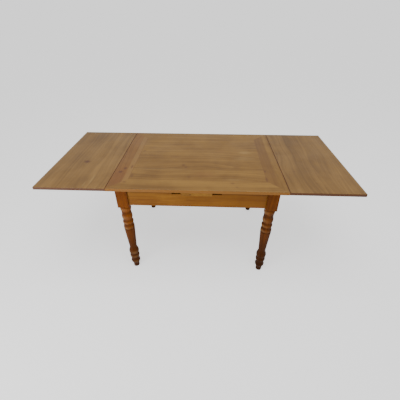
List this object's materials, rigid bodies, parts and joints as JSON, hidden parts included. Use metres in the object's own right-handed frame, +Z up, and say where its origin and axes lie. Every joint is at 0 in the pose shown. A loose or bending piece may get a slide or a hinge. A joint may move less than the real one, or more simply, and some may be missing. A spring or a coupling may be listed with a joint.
{
  "type": "extending dining table",
  "caption": "Pine draw-leaf dining table with turned legs: a loose framed top over leaves that run out on tapered bearers, shown drawn out.",
  "frame": {"origin": "on the floor, under the middle of the top", "axes": "+X along the table towards the right leaf, +Y towards the back, +Z up"},
  "size_m": [2.004, 0.876, 0.76],
  "materials": {
    "dark_nail": "dark, rough",
    "peg_wood": "bare wood, matt",
    "pine_apron": "waxed pine, satin",
    "pine_bearer": "bare wood, matt",
    "pine_board": "waxed pine, satin",
    "pine_leaf": "waxed pine, satin",
    "pine_leg": "waxed pine, satin",
    "pine_top": "waxed pine, satin",
    "screw_steel": "dull"
  },
  "bodies": {
    "frame": {"front_apron": "pine_apron", "back_apron": "pine_apron", "left_apron": "pine_apron", "right_apron": "pine_apron", "front_left_leg": "pine_leg", "front_right_leg": "pine_leg", "back_right_leg": "pine_leg", "back_left_leg": "pine_leg", "centre_board": "pine_board", "centre_board_screws": "screw_steel", "centre_board_nail": "dark_nail"},
    "main_top": {"top_front_rail": "pine_top", "top_right_rail": "pine_top", "top_back_rail": "pine_top", "top_left_rail": "pine_top", "top_board_1": "pine_top", "top_board_2": "pine_top", "top_board_3": "pine_top", "top_board_4": "pine_top", "top_board_5": "pine_top", "top_guide_pegs": "peg_wood"},
    "left_leaf": {"left_leaf_board_1": "pine_leaf", "left_leaf_board_2": "pine_leaf", "left_leaf_board_3": "pine_leaf", "left_leaf_board_4": "pine_leaf", "left_bearer_1": "pine_bearer", "left_bearer_2": "pine_bearer", "left_bearer_stops": "pine_bearer", "left_leaf_screws": "screw_steel"},
    "right_leaf": {"right_leaf_board_1": "pine_leaf", "right_leaf_board_2": "pine_leaf", "right_leaf_board_3": "pine_leaf", "right_leaf_board_4": "pine_leaf", "right_bearer_1": "pine_bearer", "right_bearer_2": "pine_bearer", "right_bearer_stops": "pine_bearer", "right_leaf_screws": "screw_steel"}
  },
  "joints": [
    {"name": "main_top_lift", "type": "slide", "parent": "frame", "child": "main_top", "axis": [0, 0, 1], "range_m": [0, 0.21]},
    {"name": "left_leaf_slide", "type": "slide", "parent": "frame", "child": "left_leaf", "axis": [0.999, 0, -0.0456], "range_m": [0, 0.4475]},
    {"name": "right_leaf_slide", "type": "slide", "parent": "frame", "child": "right_leaf", "axis": [-0.999, 0, -0.0456], "range_m": [0, 0.4475]}
  ],
  "couplings": [
    {"joint": "left_leaf_slide", "follows": "main_top_lift", "ratio": 2.1308},
    {"joint": "right_leaf_slide", "follows": "main_top_lift", "ratio": 2.1308}
  ]
}
